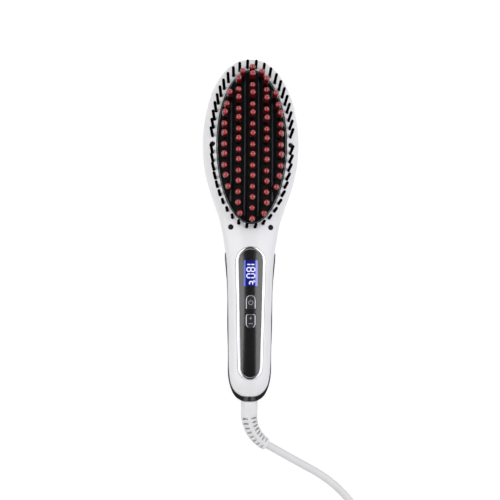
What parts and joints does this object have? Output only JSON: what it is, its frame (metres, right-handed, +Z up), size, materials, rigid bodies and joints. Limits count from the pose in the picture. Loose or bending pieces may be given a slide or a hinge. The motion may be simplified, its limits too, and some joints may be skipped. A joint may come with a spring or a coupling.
{
  "type": "heated styling brush",
  "caption": "Heated hair-straightening brush with capped comb teeth on an arched hot plate, rim bristles, a panel with display and push buttons, and a swivel mains cord.",
  "frame": {"origin": "on the surface that the brush lies on, under the middle of the body, the cord left out", "axes": "+X to the right across the brush seen from the bristle side with the head away, +Y along the brush to the tip of the head, +Z up from the back to the bristles"},
  "size_m": [0.1525, 0.4794, 0.0418],
  "materials": {
    "white_shell": "pearl-white satin gloss",
    "black_trim": "black gloss",
    "black_heat_plastic": "black satin, heat resistant",
    "coated_aluminium": "dark ceramic-type coating on aluminium",
    "foil_brass": "etched foil between films",
    "pale_fibre": "needled fibre pad",
    "bare_steel": "bright zinc",
    "component_black": "moulded component case",
    "lead_sleeve": "woven glass sleeve",
    "red_silicone": "soft satin red",
    "bristle_nylon": "dark nylon monofilament",
    "grey_plastic": "natural grey, as moulded",
    "dark_steel": "blackened screw head",
    "bright_ring": "bright plated plastic",
    "panel_gloss": "black piano gloss",
    "display_blue": "lit blue display behind a clear lens",
    "button_gloss": "black gloss",
    "board_green": "green solder mask",
    "contact_brass": "polished",
    "cord_sheath": "white flexible sheath, satin",
    "tie_white": "woven strap",
    "plug_plastic": "white, satin",
    "pin_plate": "nickel plated"
  },
  "bodies": {
    "brush": {"front_shell": "white_shell", "back_shell": "white_shell", "handle_trim": "black_trim", "heater_frame": "black_heat_plastic", "heater_plate": "coated_aluminium", "foil_heater": "foil_brass", "insulating_pad": "pale_fibre", "clamp_plate": "bare_steel", "clamp_screws": "bare_steel", "temperature_sensor": "component_black", "thermal_fuse": "bare_steel", "heater_leads": "lead_sleeve", "comb_strip_left_outer": "black_heat_plastic", "comb_strip_left_inner": "black_heat_plastic", "comb_strip_centre": "black_heat_plastic", "comb_strip_right_inner": "black_heat_plastic", "comb_strip_right_outer": "black_heat_plastic", "tooth_caps": "red_silicone", "rim_bristles": "bristle_nylon", "bristle_retainer_tip": "grey_plastic", "bristle_retainer_neck": "grey_plastic", "case_screws": "dark_steel", "panel_ring": "bright_ring", "control_panel": "panel_gloss", "display_window": "display_blue", "circuit_board": "board_green", "board_screws": "bare_steel", "display_module": "component_black", "power_switch": "component_black", "temperature_switch": "component_black", "filter_capacitor": "component_black", "heater_relay": "component_black", "swivel_bush": "grey_plastic", "contact_springs": "contact_brass", "contact_block": "grey_plastic"},
    "power_key": {"power_button": "button_gloss", "power_plunger": "grey_plastic"},
    "temperature_key": {"temperature_button": "button_gloss", "temperature_plunger": "grey_plastic"},
    "cord_end": {"swivel_shaft": "grey_plastic", "contact_rings": "contact_brass", "strain_relief": "cord_sheath", "cord": "cord_sheath", "cord_coil": "cord_sheath", "cord_tail": "cord_sheath", "coil_tie": "tie_white", "plug_body": "plug_plastic", "plug_pins": "pin_plate"}
  },
  "joints": [
    {"name": "power_press", "type": "slide", "parent": "brush", "child": "power_key", "axis": [0, 0, -1], "range_m": [0, 0.0006], "stiffness_N_per_m": 900},
    {"name": "temperature_press", "type": "slide", "parent": "brush", "child": "temperature_key", "axis": [0, 0, -1], "range_m": [0, 0.0006], "stiffness_N_per_m": 900},
    {"name": "cord_swivel", "type": "hinge", "parent": "brush", "child": "cord_end", "pos_m": [0, -0.125, 0.013], "axis": [0, 1, 0], "continuous": true}
  ]
}
